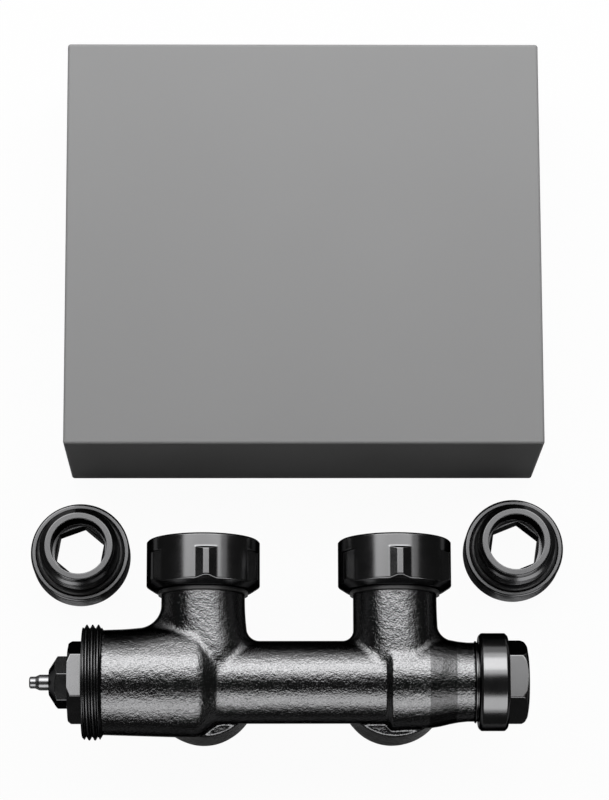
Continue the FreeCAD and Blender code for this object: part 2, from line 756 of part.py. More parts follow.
def nipple(x, y, turn):
    outer = connector_thread_radius
    tube_r = radiator_thread_radius
    end = nipple_base + nipple_tube
    recess_r = outer - nipple_shoulder
    undercut_r = tube_r - nipple_undercut
    floor = nipple_base - nipple_recess
    thread_start = nipple_base + 2 * nipple_undercut + nipple_recess
    outside = turned([(0, 0), (0, outer - nipple_edge), (nipple_edge, outer),
                      (nipple_base - nipple_edge / 2, outer), (nipple_base, outer - nipple_edge / 2),
                      (nipple_base, recess_r), (floor, recess_r), (floor, undercut_r),
                      (thread_start, undercut_r), (thread_start, tube_r), (end - nipple_chamfer, tube_r),
                      (end, tube_r - nipple_chamfer), (end, 0)], along_z)
    key_start = nipple_cone_depth
    key_end = key_start + nipple_key_length
    bore = rod(tube_r - nipple_wall, key_end, end + 1, along_z)
    key = hex_bar(nipple_key_flats, key_start - 1, key_end + 1, turn, along_z)
    narrow = nipple_key_flats / 2
    cone = turned([(-1, 0), (-1, narrow + nipple_cone_depth * 0.5), (0, narrow + nipple_cone_depth * 0.5),
                   (key_start, narrow), (key_start, 0)], along_z)
    return moved(outside.cut(bore).cut(key).cut(cone), x, y, 0)


def nipple_seal(x, y):
    cord = seal_radius - seat_gap
    inner = radiator_thread_radius - nipple_undercut + seat_gap
    floor = nipple_base - nipple_recess + seat_gap
    return moved(cord_ring(inner + cord, cord, floor + cord, along_z), x, y, 0)


# Everything in its place: the origin lies on the table, under the middle of the whole kit
middle_x = (nipple_left_x + nipple_right_x) / 2
middle_y = (cover_distance + cover_height - head_thread_radius) / 2

on_the_block = {
    "valve_body": valve_body(),
    "insert_housing": insert_housing(),
    "insert_housing_seal": insert_housing_seal(),
    "guide_plate": guide_plate_ring(),
    "preset_cage": preset_cage(),
    "gland_nut": gland_nut(),
    "gland_seal": gland_seal(),
    "stem_pin": stem_pin(),
    "stem_spindle": stem_spindle(),
    "return_spring": return_spring(),
    "disc_carrier": disc_carrier(),
    "disc_seal": disc_seal(),
    "disc_nut": disc_nut(),
    "bypass_plug": bypass_plug(),
    "bypass_plug_seal": bypass_plug_seal(),
    "return_housing": return_housing(),
    "return_housing_seal": return_housing_seal(),
    "shutoff_cone": shutoff_cone(),
    "shutoff_seal": shutoff_seal(),
    "shutoff_spindle": shutoff_spindle(),
    "shutoff_spindle_seal": shutoff_spindle_seal(),
    "union_nut_flow": union_nut(flow_x),
    "union_nut_return": union_nut(return_x),
    "wire_rings": wire_rings(),
    "nut_stop_rings": nut_stop_rings(),
    "branch_seals": branch_seals(),
    "cap_gasket": cap_gasket_ring(),
    "closing_cap": closing_cap(),
}
on_the_table = {
    "cover_shell": cover_shell(),
    "cover_clips": cover_clips(),
    "nipple_left": nipple(nipple_left_x, nipple_left_y, nipple_left_turn),
    "nipple_left_seal": nipple_seal(nipple_left_x, nipple_left_y),
    "nipple_right": nipple(nipple_right_x, nipple_right_y, nipple_right_turn),
    "nipple_right_seal": nipple_seal(nipple_right_x, nipple_right_y),
}

os.makedirs("parts", exist_ok=True)
for name, shape in on_the_block.items():
    moved(shape, -middle_x, -middle_y, axis_height).exportStep("parts/" + name + ".step")
for name, shape in on_the_table.items():
    moved(shape, -middle_x, -middle_y, 0).exportStep("parts/" + name + ".step")
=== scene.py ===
# %% [markdown]
# # A radiator h-block valve, dressed for a product photograph
# The real object is a cast block of nickel-plated brass that joins a radiator to its two pipes.
# It lies on a table with its grey cover and its two threaded nipples. The CAD model gives every
# place and size. This lesson adds what castings and turned parts show close up: rounded edges,
# threads, fillets between the pipes, and the grain of the metal.

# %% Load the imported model
import math
import bpy
import numpy as np
from mathutils import Matrix


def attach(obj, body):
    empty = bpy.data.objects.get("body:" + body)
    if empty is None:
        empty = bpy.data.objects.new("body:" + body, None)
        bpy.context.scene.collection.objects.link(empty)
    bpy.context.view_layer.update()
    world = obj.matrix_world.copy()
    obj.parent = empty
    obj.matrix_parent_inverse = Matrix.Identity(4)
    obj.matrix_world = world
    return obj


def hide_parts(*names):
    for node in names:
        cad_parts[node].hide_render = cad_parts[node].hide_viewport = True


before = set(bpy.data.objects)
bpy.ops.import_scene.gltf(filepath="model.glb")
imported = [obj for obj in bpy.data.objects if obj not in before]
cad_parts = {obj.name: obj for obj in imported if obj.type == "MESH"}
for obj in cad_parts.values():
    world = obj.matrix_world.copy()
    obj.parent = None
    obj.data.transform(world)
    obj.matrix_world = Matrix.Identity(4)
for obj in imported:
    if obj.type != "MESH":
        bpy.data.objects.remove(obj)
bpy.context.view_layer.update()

# %% [markdown]
# ## Sizes
# The block was drawn in millimetres about its own long axis, with x along the block, y towards
# the radiator and z away from the wall. One small function puts such points into the frame in
# metres, so every number below can be read as a workshop size.

# %% Places in millimetres
block_shift = np.array([0.2, -76.7, 29.0])     # the block's own axis, seen from the frame's origin
table_shift = np.array([0.2, -76.7, 0.0])      # pieces that lie on the table, drawn from the table up
flow_x, return_x = -25.0, 25.0
tube_r, chamber_r, branch_r, boss_r = 10.73, 14.35, 10.9, 14.0
thread_root_x, thread_end_x = -50.8, -56.2     # head thread
insert_x, gland_x, pin_x = -59.9, -64.9, -70.0  # outer ends of insert, gland nut and pin
lip_x, neck_x, neck_end_x = 43.7, 45.9, 51.0   # lip, thread and end of the neck under the cap
cap_x, cap_hex_x, cap_end_x = 46.5, 54.1, 59.6
insert_turn, gland_turn, cap_turn, nut_turn = 25.8, 49.0, 28.7, 3.6   # degrees


def in_frame(points, shift=block_shift):
    """Millimetres about the block's axis to metres in the frame."""
    return (np.asarray(points, float) + shift) / 1000


print("head thread ends at", in_frame([thread_end_x, 0, 0]))

# %% [markdown]
# ## Camera
# The picture was taken from above and a little from the block's side, with a long lens. The
# camera's place, tilt and lens were fitted, so that known places of the CAD model fall where
# the picture shows them. A wide lens closer by would make the cover's sides run together.

# %% Camera
lens_mm, sensor_mm = 157.0, 36.0
camera_place = [-0.01013, -0.20215, 0.929]     # metres
tilt, pan = 0.21924, 0.012937                  # radians from straight down
camera_data = bpy.data.cameras.new("camera")
camera_data.lens = lens_mm
camera_data.sensor_fit = "VERTICAL"
camera_data.sensor_height = sensor_mm
camera_data.clip_start, camera_data.clip_end = 0.05, 20
camera = bpy.data.objects.new("camera", camera_data)
bpy.context.scene.collection.objects.link(camera)
forward = np.array([math.sin(pan), math.sin(tilt) * math.cos(pan), -math.cos(tilt) * math.cos(pan)])
right = np.array([math.cos(pan), -math.sin(tilt) * math.sin(pan), math.cos(tilt) * math.sin(pan)])
up = np.cross(right, forward)
pose = np.eye(4)
pose[:3, 0], pose[:3, 1], pose[:3, 2] = right, up, -forward
pose[:3, 3] = camera_place
camera.matrix_world = Matrix(pose.tolist())
bpy.context.scene.camera = camera
bpy.context.scene.view_settings.view_transform = "Standard"
print("camera looks along", forward.round(3))

# %% [markdown]
# ## Shader maths as Python
# A node tree is easier to read as a formula. The class below wraps one socket, so that
# `grain * 0.3 + 0.2` adds its Math nodes by itself. Any other node comes from one method
# that takes its type, its settings and its sockets.

# %% Sockets that can be added and multiplied
class Socket:
    """One output of a node tree that takes part in sums."""

    def __init__(self, finish, link):
        self.finish, self.link = finish, link

    def __add__(self, other):
        return self.finish.math_of("ADD", self, other)

    def __sub__(self, other):
        return self.finish.math_of("SUBTRACT", self, other)

    def __rsub__(self, other):
        return self.finish.math_of("SUBTRACT", other, self)

    def __mul__(self, other):
        return self.finish.math_of("MULTIPLY", self, other)

    __radd__, __rmul__ = __add__, __mul__


class Finish:
    """A material built from one shader node and the nodes that feed it."""

    def __init__(self, name):
        self.material = bpy.data.materials.new(name)
        self.material.use_nodes = True
        self.tree = self.material.node_tree
        self.tree.nodes.clear()

    def node(self, kind, settings=None, sockets=None, output=0):
        """A node of this kind: its settings are set first, then its sockets get values or links."""
        made = self.tree.nodes.new(kind)
        for key, value in (settings or {}).items():
            if key == "stops":
                ramp = made.color_ramp.elements
                while len(ramp) < len(value):
                    ramp.new(0.5)
                for stop, (place, shade) in zip(ramp, value):
                    stop.position = place
                    stop.color = (shade, shade, shade, 1)
            else:
                setattr(made, key, value)
        for key, value in (sockets or {}).items():
            if isinstance(value, Socket):
                self.tree.links.new(value.link, made.inputs[key])
            else:
                made.inputs[key].default_value = value
        return Socket(self, made.outputs[output])

    def place(self, scale=(1, 1, 1)):
        """Object coordinates, stretched by a scale."""
        coordinates = self.node("ShaderNodeTexCoord", output=3)
        return self.node("ShaderNodeMapping", None, {"Vector": coordinates, "Scale": scale})

    def noise(self, size, detail=3.0, stretch=(1, 1, 1), roughness=0.5):
        """Soft noise whose blotches are about this many millimetres wide."""
        return self.node("ShaderNodeTexNoise", None, {
            "Vector": self.place(stretch), "Scale": 1000 / size, "Detail": detail, "Roughness": roughness})

    def ramp(self, value, stops):
        return self.node("ShaderNodeValToRGB", {"stops": stops}, {"Fac": value})

    def math_of(self, operation, value, other=0.0):
        return self.node("ShaderNodeMath", {"operation": operation}, {0: value, 1: other})

    def shade(self, amount, dark, light, under=None):
        """Colour between a dark and a light one, times the colour under it if there is one."""
        colour = self.node("ShaderNodeMix", {"data_type": "RGBA"}, {
            0: amount, 6: (*dark, 1), 7: (*light, 1)}, output=2)
        if under is None:
            return colour
        return self.node("ShaderNodeMix", {"data_type": "RGBA", "blend_type": "MULTIPLY"}, {
            0: 1.0, 6: colour, 7: under}, output=2)

    def bump(self, height, distance, strength=1.0, below=None):
        """Normal of a surface raised by up to distance millimetres."""
        sockets = {"Height": height, "Distance": distance / 1000, "Strength": strength}
        if below is not None:
            sockets["Normal"] = below
        return self.node("ShaderNodeBump", None, sockets)

    def surface(self, sockets):
        """Principled shader to the output; returns the finished material."""
        shader = self.node("ShaderNodeBsdfPrincipled", None, sockets)
        end = self.tree.nodes.new("ShaderNodeOutputMaterial")
        self.tree.links.new(shader.link, end.inputs["Surface"])
        return self.material


print("shader helpers are ready")

# %% [markdown]
# ## Grids that become skins
# A turned part is a profile carried round an axis. Its radius may also depend on the angle:
# that one idea gives hexagons, ribs and threads. The grid's rows run along the part and its
# columns run round it. A row whose radius is nothing closes in a pole.

# %% Mesh from a grid of points
def add_piece(name, points, faces, smooth=True):
    """Mesh object at the origin from points in metres and a list of face arrays."""
    loops = np.concatenate([group.ravel() for group in faces])
    sizes = np.concatenate([np.full(len(group), group.shape[1]) for group in faces])
    mesh = bpy.data.meshes.new(name)
    mesh.vertices.add(len(points))
    mesh.vertices.foreach_set("co", np.asarray(points, np.float32).ravel())
    mesh.loops.add(len(loops))
    mesh.loops.foreach_set("vertex_index", loops.astype(np.int32))
    mesh.polygons.add(len(sizes))
    mesh.polygons.foreach_set("loop_start", (np.cumsum(sizes) - sizes).astype(np.int32))
    mesh.polygons.foreach_set("use_smooth", np.full(len(sizes), smooth))
    mesh.update(calc_edges=True)
    mesh.validate()
    piece = bpy.data.objects.new(name, mesh)
    bpy.context.scene.collection.objects.link(piece)
    print(f"{name}: {len(points)} points, {int((sizes - 2).sum())} triangles")
    return piece


def signed_volume(points, faces):
    """Volume inside closed faces, by adding the tents between each triangle and the origin."""
    total = 0.0
    for group in faces:
        for corner in range(1, group.shape[1] - 1):
            a, b, c = points[group[:, 0]], points[group[:, corner]], points[group[:, corner + 1]]
            total += np.einsum("ij,ij->i", a, np.cross(b, c)).sum() / 6
    return total


def skin(name, grid, ring):
    """Closed skin over a grid (rows, columns, 3) in metres: a ring joins its last row to its
    first, and any other piece closes both ends in a pole."""
    rows, columns = grid.shape[:2]
    if ring:
        points = grid.reshape(-1, 3)
        row, column = np.meshgrid(np.arange(rows), np.arange(columns), indexing="ij")
        first = np.arange(rows * columns).reshape(rows, columns)
    else:
        points = np.concatenate([grid[0, :1], grid[1:-1].reshape(-1, 3), grid[-1, :1]])
        row, column = np.meshgrid(np.arange(rows - 3), np.arange(columns), indexing="ij")
        first = 1 + np.arange((rows - 2) * columns).reshape(rows - 2, columns)
    after = (row + 1) % first.shape[0]
    beside = (column + 1) % columns
    faces = [np.stack([first[row, column], first[row, beside], first[after, beside],
                       first[after, column]], -1).reshape(-1, 4)]
    if not ring:
        around, shifted = first[0], np.roll(first[0], -1)
        faces.append(np.stack([np.zeros(columns, int), shifted, around], -1))
        around, shifted = first[-1], np.roll(first[-1], -1)
        faces.append(np.stack([around, shifted, np.full(columns, len(points) - 1)], -1))
    if signed_volume(points, faces) < 0:
        faces = [group[:, ::-1] for group in faces]
    return add_piece(name, points, faces)


directions = {
    "x": ([0, 0, -1], [0, 1, 0], [1, 0, 0]),
    "y": ([1, 0, 0], [0, 0, -1], [0, 1, 0]),
    "z": ([1, 0, 0], [0, 1, 0], [0, 0, 1]),
    "back": ([1, 0, 0], [0, -1, 0], [0, 0, -1]),
}


def round_the_axis(along, radius, angle, axis, centre, shift=block_shift):
    """Points at centre + radius * (cos, sin of the angle) across the axis + the way along it."""
    across, aside, ahead = (np.array(v, float) for v in directions[axis])
    points = (radius * np.cos(angle))[..., None] * across + (radius * np.sin(angle))[..., None] * aside
    points = points + np.broadcast_to(along, radius.shape)[..., None] * ahead + np.array(centre, float)
    return in_frame(points, shift)


print("grid helpers are ready")

# %% [markdown]
# ## Edges and threads
# No real edge is sharp. Each corner of a profile is replaced by a short curve, which is what
# catches the thin bright lines. A thread is a groove that climbs by one pitch for each turn:
# its height depends on the way along the axis less the angle's share of a pitch.

# %% Profiles, hexagons and threads
metric_pitch, pipe_pitch = 1.5, 1.814          # pipe threads have 14 turns to the inch
head_r, thread_root_r = 15.0, 13.6             # crest and foot of the head's thread
wide_r, narrow_r = 13.22, 10.48                # crests of the two pipe threads


def softened(corners, size, closed=False, steps=4):
    """Profile whose corners are cut back by size and joined by a small curve.

    The curve leaves the one side and meets the other, with the corner as its middle control."""
    corners = [np.array(corner, float) for corner in corners]
    count = len(corners)
    line = []
    for number, corner in enumerate(corners):
        if not closed and number in (0, count - 1):
            line.append(corner)
            continue
        before, after = corners[number - 1] - corner, corners[(number + 1) % count] - corner
        cut = min(size, 0.45 * np.linalg.norm(before), 0.45 * np.linalg.norm(after))
        start = corner + before / np.linalg.norm(before) * cut
        end = corner + after / np.linalg.norm(after) * cut
        for share in np.linspace(0, 1, steps):
            line.append((1 - share) ** 2 * start + 2 * share * (1 - share) * corner + share ** 2 * end)
    return np.array(line)


def refined(line, step, closed=False):
    """The same profile with points added, so that no stretch is longer than step."""
    ends = np.roll(line, -1, axis=0) if closed else line[1:]
    starts = line if closed else line[:-1]
    parts = []
    for start, end in zip(starts, ends):
        count = max(1, math.ceil(np.linalg.norm(end - start) / step))
        share = np.linspace(0, 1, count, endpoint=False)[:, None]
        parts.append(start + (end - start) * share)
    if not closed:
        parts.append(line[-1:])
    return np.concatenate(parts)


def flats(angle, width, turn):
    """Radius of a hexagon: half its width over the cosine of the angle from the nearest flat."""
    return width / 2 / np.cos((angle - math.radians(turn)) % (math.pi / 3) - math.pi / 6)


def thread_height(along, angle, pitch):
    """0 in the root and 1 on the crest of a right-hand thread, with small lands on both."""
    phase = (along / pitch - angle / (2 * math.pi)) % 1
    return np.clip((np.abs(2 * phase - 1) - 0.12) / 0.72, 0, 1)


def turn_of(columns, turn=0.0):
    return np.linspace(0, 2 * math.pi, columns, endpoint=False)[None, :] + math.radians(turn)


def threaded(along, radius, angle, start, end, crest, depth, pitch):
    """Radius lowered into an outer thread: from start to end it is at most the crest less the
    depth times what is missing of the thread's height."""
    here = (along > start) & (along < end) & (radius > crest - depth - 0.3)
    lowered = np.minimum(radius, crest - depth * (1 - thread_height(along, angle, pitch)))
    return np.where(here, lowered, radius)


def cut_to_flats(along, radius, angle, start, end, lowest, width, turn):
    """Radius cut to a hexagon's flats from start to end, wherever it is over the lowest one."""
    here = (along >= start) & (along <= end) & (radius > lowest)
    return np.where(here, np.minimum(radius, flats(angle, width, turn)), radius)


climb = math.degrees(math.atan(metric_pitch / (2 * math.pi * head_r)))
print("the head's thread climbs by", round(climb, 2), "degrees")

# %% [markdown]
# ## Cast and turned metal
# All the metal parts are nickel-plated brass. The casting keeps the grain of its sand mould
# under the plating: fine pits with larger flakes between them. The turned parts are smooth,
# with faint rings from the lathe. In the picture the metal is dark except where it mirrors
# a lamp, so its colour is a low one. Grain is bump and not colour, because it has to glitter.

# %% Metal finishes
band_middle, band_half = 37.1, 3.5             # middle and half width of a darker band round the return chamber, in mm along the block


def cast_metal(name, dark=(0.095, 0.095, 0.097), light=(0.145, 0.145, 0.147)):
    finish = Finish(name)
    grain = finish.noise(0.42, detail=2, roughness=0.5)
    flakes = finish.noise(1.3, detail=4, roughness=0.62)
    swells = finish.noise(8.0, detail=2)
    # a darker band round the return chamber, its colour times 0.55; a ramp reads from 0
    # to 1, so the millimetres from the band's middle go in as tenths
    way = finish.node("ShaderNodeSeparateXYZ", None, {0: finish.place((1000, 1000, 1000))}, output=0)
    middle = finish.math_of("ABSOLUTE", way - (band_middle + block_shift[0]))
    band = finish.ramp(middle * 0.1, [(band_half * 0.1 - 0.01, 1.0), (band_half * 0.1 + 0.01, 0.0)])
    normal = finish.bump(swells, 0.3, 0.6)
    normal = finish.bump(flakes, 0.18, 0.8, normal)
    normal = finish.bump(grain, 0.10, 0.9, normal)
    return finish.surface({
        "Base Color": finish.shade(band, (1, 1, 1), (0.55, 0.55, 0.55),
                                   finish.shade(finish.ramp(grain, [(0.3, 0.0), (0.7, 1.0)]), dark, light)),
        "Metallic": 1.0, "Roughness": flakes * 0.10 + 0.03, "Specular Tint": (0.02, 0.02, 0.02, 1),
        "Normal": normal})


def turned_metal(name, axis, colour=(0.135, 0.135, 0.137), rough=0.17):
    """Rings from the lathe: noise stretched round the axis, squeezed along it."""
    finish = Finish(name)
    squeeze = {"x": (1, 0.02, 0.02), "y": (0.02, 1, 0.02), "z": (0.02, 0.02, 1)}[axis]
    rings = finish.noise(0.35, detail=3, stretch=squeeze)
    stains = finish.noise(4.0, detail=4, roughness=0.6)
    normal = finish.bump(rings, 0.004, 0.5)
    dark = tuple(0.82 * channel for channel in colour)
    return finish.surface({
        "Base Color": finish.shade(stains, dark, colour), "Metallic": 1.0,
        "Roughness": stains * 0.12 + (rough - 0.05), "Specular Tint": (0.04, 0.04, 0.04, 1),
        "Normal": normal})


casting_finish = cast_metal("cast_nickel")
turned_x = turned_metal("turned_nickel_x", "x")
turned_y = turned_metal("turned_nickel_y", "y")
turned_z = turned_metal("turned_nickel_z", "z")
dark_thread = turned_metal("thread_nickel", "x", (0.10, 0.10, 0.102), 0.26)
dark_nipple = turned_metal("nipple_nickel", "z", (0.1, 0.1, 0.102), 0.22)
print("metal finishes:", len(bpy.data.materials))

# %% [markdown]
# ## Rubber, plastic and steel
# The sealing rings are black rubber with a little bloom, the snap rings are black plastic, and
# the pin and the spring are drawn steel. The cover is moulded plastic with a satin lacquer:
# even grey, with very fine peel and a broad soft gloss.

# %% Other finishes
def rubber(name, colour=(0.018, 0.018, 0.019), rough=0.42):
    finish = Finish(name)
    bloom = finish.noise(0.8, detail=4)
    dark, light = tuple(0.7 * c for c in colour), tuple(1.5 * c for c in colour)
    return finish.surface({
        "Base Color": finish.shade(bloom, dark, light),
        "Roughness": bloom * 0.2 + (rough - 0.1), "Normal": finish.bump(bloom, 0.01, 0.4)})


def steel(name, colour=(0.22, 0.22, 0.225)):
    finish = Finish(name)
    streaks = finish.noise(0.5, detail=3, stretch=(0.05, 1, 1))
    dark = tuple(0.75 * c for c in colour)
    return finish.surface({
        "Base Color": finish.shade(streaks, dark, colour), "Metallic": 1.0,
        "Roughness": streaks * 0.15 + 0.18, "Specular Tint": (0.3, 0.3, 0.3, 1)})


def lacquer(name, colour=(0.335, 0.335, 0.337)):
    finish = Finish(name)
    peel = finish.noise(0.5, detail=3)
    cloud = finish.noise(60, detail=2)
    normal = finish.bump(peel, 0.006, 0.5)
    dark, light = tuple(0.96 * c for c in colour), tuple(1.04 * c for c in colour)
    return finish.surface({
        "Base Color": finish.shade(cloud, dark, light),
        "Roughness": peel * 0.08 + 0.5, "Specular IOR Level": 0.06, "Normal": normal})


seal_finish = rubber("black_rubber")
ring_finish = rubber("black_plastic", (0.02, 0.02, 0.02), 0.35)
steel_finish = steel("drawn_steel")
cover_finish = lacquer("satin_grey_lacquer")
print("finishes in all:", len(bpy.data.materials))

# %% [markdown]
# ## The casting
# Two pipes run into a third with soft fillets, and every pipe is hollow. A grid of two
# parameters can't wrap such a branching shape, and joining meshes leaves hard seams. So the
# casting is worked out from distances: each pipe is the distance to its surface, two pipes
# are joined by a formula that rounds the corner between them, and the skin is laid where
# the distance is nothing.

# %% Distances that can be joined
def polygon_distance(x, y, corners):
    """Distance to a polygon in a plane, negative inside: the nearest point of its nearest side,
    with the sign from how often a line from the point crosses the sides."""
    corners = np.array(corners, np.float32)
    nearest = np.full(x.shape, 1e9, np.float32)
    inside = np.zeros(x.shape, bool)
    for (ax, ay), (bx, by) in zip(corners, np.roll(corners, -1, axis=0)):
        ex, ey = bx - ax, by - ay
        share = np.clip(((x - ax) * ex + (y - ay) * ey) / (ex * ex + ey * ey), 0, 1)
        nearest = np.minimum(nearest, (x - ax - share * ex) ** 2 + (y - ay - share * ey) ** 2)
        if ey != 0:
            crosses = ((ay > y) != (by > y)) & (x < ex * (y - ay) / ey + ax)
            inside ^= crosses
    distance = np.sqrt(nearest)
    return np.where(inside, -distance, distance)


def fading(value, start, end):
    """1 up to start, 0 from end on, and a soft slope between them."""
    share = np.clip((end - value) / (end - start), 0, 1)
    return share * share * (3 - 2 * share)


def filleted(a, b, radius):
    """Two shapes joined with a fillet: inside the corner, the distance to the fillet's own circle."""
    corner = np.hypot(np.maximum(radius - a, 0), np.maximum(radius - b, 0))
    return np.maximum(radius, np.minimum(a, b)) - corner


def without(shape, hollow):
    return np.maximum(shape, -hollow)


def box_distance(x, y, z, half):
    """Distance to a box about the origin: the furthest of the ways past its three pairs of sides."""
    return np.maximum(np.abs(x) - half[0], np.maximum(np.abs(y) - half[1], np.abs(z) - half[2]))


print("distance helpers are ready")

# %% [markdown]
# The long pipe is one profile: the chamber with its shoulder on the left, then the plain pipe,
# then the return chamber, which slims down to the neck under the cap. The branches and the
# wall side's pads are added to it, and everything that is bored out is taken away.

# %% Outside and bores of the casting
neck_r = 10.25
chamber_profile = [(thread_root_x - 0.3, -1), (thread_root_x - 0.3, thread_root_r),
                   (thread_root_x, thread_root_r)]
shoulder = [(-27.0, chamber_r), (-25.9, 14.1), (-24.8, 13.55), (-22.4, 11.8), (-21.3, 11.05), (-20.2, tube_r)]
return_profile = [(22.4, tube_r), (24.0, 12.5), (34.3, 11.9), (36.7, 11.5), (39.0, 10.94), (41.3, 10.5),
                  (lip_x, neck_r), (neck_x - 0.4, neck_r), (neck_x - 0.4, -1)]
axis_outline = chamber_profile + shoulder + return_profile
print("the casting's outline has", len(axis_outline), "corners")
# radii of the bores and of the raised lip round each seat
chamber_bore, neck_bore, seat_bore, seat_lip, room_bore = 9.55, 7.95, 5.6, 6.6, 7.5
cross_bore, branch_bore, port_bore = 3.6, 6.6, 7.62
# the same on both sides: the lip's edge, the seat wall's two faces and the end of the room behind
lip_edge, wall_front, wall_back, room_end = 27.0, 26.4, 22.8, 14.8


def branch_distance(x, y, z, centre, lean):
    """Pipe towards the radiator; it leans out a little at its foot, as castings do, and it
    slims down at its very end, so that it dives under the long pipe's surface."""
    foot = np.clip((21.5 - y) / 13, 0, 1)
    end = branch_r - 0.9 * fading(y, 0, 6)
    straight = np.hypot(x - centre, z) - end
    leaning = np.hypot(x - centre - lean * foot ** 2, z - 0.3 * foot) - end
    pipe = np.minimum(straight, leaning)
    return np.maximum(pipe, np.maximum(y - 23.3, -2 - y))


def boss_distance(x, y, z, centre):
    """Round pad on the wall side, its edges rounded."""
    radius = np.hypot(x - centre, y)
    rounding = 0.7
    side, front, back = radius - boss_r + rounding, z + 1.2 + rounding, -21.3 - z + rounding
    ends = np.maximum(front, back)
    outside = np.hypot(np.maximum(side, 0), np.maximum(ends, 0))
    return outside + np.minimum(np.maximum(side, ends), 0) - rounding


def hollow_distance(x, y, z, radius):
    """Everything that is bored or cored out of the casting.

    On each side a slot opens the branch into the pipe in front of the seat, and a drop opens
    the room behind the seat into the port on the wall side."""
    head = polygon_distance(x, radius, [
        (-60, -1), (-60, chamber_bore), (-wall_front, chamber_bore), (-wall_front, seat_lip),
        (-lip_edge, seat_lip), (-lip_edge, seat_bore), (-wall_back, seat_bore), (-wall_back, room_bore),
        (-room_end, room_bore), (-room_end, -1)])
    tail = polygon_distance(x, radius, [
        (60, -1), (room_end, -1), (room_end, room_bore), (wall_back, room_bore), (wall_back, seat_bore),
        (lip_edge, seat_bore), (lip_edge, seat_lip), (wall_front, seat_lip), (wall_front, neck_bore),
        (60, neck_bore)])
    hollow = np.minimum(np.minimum(head, tail), np.maximum(radius - cross_bore, np.abs(x) - 23))
    for centre, side in ((flow_x, -1), (return_x, 1)):
        branch = np.maximum(np.hypot(x - centre, z) - branch_bore, 10.95 - y)
        port = np.maximum(np.hypot(x - centre, y) - port_bore, z + 10.95)
        slot = box_distance(x - centre - side * 3.65, y - 9.3, z, (2.25, 2.6, 4.5))
        drop = box_distance(x - centre + side * 4.45, y, z + 6, (2.25, 4.5, 6))
        hollow = np.minimum(hollow, np.minimum(np.minimum(branch, port), np.minimum(slot, drop)))
    return hollow


def casting_distance(x, y, z):
    radius = np.hypot(y, z)
    # the chamber's top rises a little towards the branch
    rise = 0.8 * (1 - fading(x, -47, -31)) * (1 - fading(y, 6, 13)) * fading(x, -27, -24)
    pipes = polygon_distance(x, radius - rise, axis_outline)
    flow = branch_distance(x, y, z, flow_x, 1.3)
    back = branch_distance(x, y, z, return_x, 0.6)
    # the fillets are round in the corners between the pipes and fade out in front, where
    # the pipes run into each other at almost one height; the chamber's side has a wider one
    flare = 2.6 * (1 - fading(-x, 27, 33))
    size = 0.8 + (2.05 + flare) * fading(np.abs(z), 3.5, 10.0)
    shape = filleted(pipes, np.minimum(flow, back), size)
    bosses = np.minimum(boss_distance(x, y, z, flow_x), boss_distance(x, y, z, return_x))
    shape = filleted(shape, bosses, 0.5)
    return without(shape, hollow_distance(x, y, z, radius))


# %% Lay the skin where the distance is nothing
def level_surface(name, distance, low, high, step):
    """Closed skin of a shape given by its distance.

    Space is cut into cubes. Each cube that the surface crosses gets one point, the mean of the
    crossings on its twelve edges, and each crossed edge gets a face between its four cubes. Then
    every point slides down the slope of the distance until it lies on the surface."""
    axes = [np.arange(a, b + step, step, dtype=np.float32) for a, b in zip(low, high)]
    value = distance(*np.meshgrid(*axes, indexing="ij"))
    value = np.where(value == 0, 1e-6, value)
    inside = value < 0
    corners = [(i, j, k) for i in (0, 1) for j in (0, 1) for k in (0, 1)]
    size = np.array(value.shape) - 1

    def part(array, offset):
        return array[tuple(slice(o, o + s) for o, s in zip(offset, size))]

    filled = sum(part(inside, corner).astype(np.int8) for corner in corners)
    cubes = np.argwhere((filled > 0) & (filled < 8))
    at = np.stack([value[tuple((cubes + corner).T)] for corner in corners], 1)
    total, count = np.zeros((len(cubes), 3)), np.zeros(len(cubes))
    for a, first in enumerate(corners):
        for b, second in enumerate(corners):
            if b > a and sum(abs(p - q) for p, q in zip(first, second)) == 1:
                crossed = (at[:, a] < 0) != (at[:, b] < 0)
                share = at[:, a] / np.where(crossed, at[:, a] - at[:, b], 1)
                point = np.array(first) + share[:, None] * (np.array(second) - np.array(first))
                total += np.where(crossed[:, None], point, 0)
                count += crossed
    points = (cubes + total / count[:, None]) * step + np.array(low)

    def distance_at(places):
        return distance(*places.T.astype(np.float32))

    reach = 0.02                               # the slope is read this far to either side
    for _ in range(4):
        here = distance_at(points)
        slope = np.stack([distance_at(points + shift) - distance_at(points - shift)
                          for shift in np.eye(3) * reach], 1) / (2 * reach)
        steep = np.maximum((slope ** 2).sum(1), 0.25)
        move = slope * (here / steep)[:, None]
        length = np.linalg.norm(move, axis=1, keepdims=True)
        points = points - move * np.minimum(1, 0.3 * step / np.maximum(length, 1e-9))
    number = np.full(size, -1, np.int32)
    number[tuple(cubes.T)] = np.arange(len(cubes))
    faces = []
    for axis in range(3):
        one, two = (axis + 1) % 3, (axis + 2) % 3
        near = np.take(inside, range(size[axis]), axis)
        far = np.take(inside, range(1, size[axis] + 1), axis)
        edges = np.argwhere(near != far)
        enclosed = (edges[:, one] > 0) & (edges[:, two] > 0)
        enclosed &= (edges[:, one] < size[one]) & (edges[:, two] < size[two])
        edges = edges[enclosed]
        quad = []
        for back_one, back_two in ((0, 0), (1, 0), (1, 1), (0, 1)):
            cube = edges.copy()
            cube[:, one] -= back_one
            cube[:, two] -= back_two
            quad.append(number[tuple(cube.T)])
        quad = np.stack(quad, 1)
        out = near[tuple(edges.T)]
        quad[out] = quad[out][:, ::-1]
        faces.append(quad)
    points = in_frame(points)
    if signed_volume(points, faces) < 0:
        faces = [group[:, ::-1] for group in faces]
    return add_piece(name, points, faces)


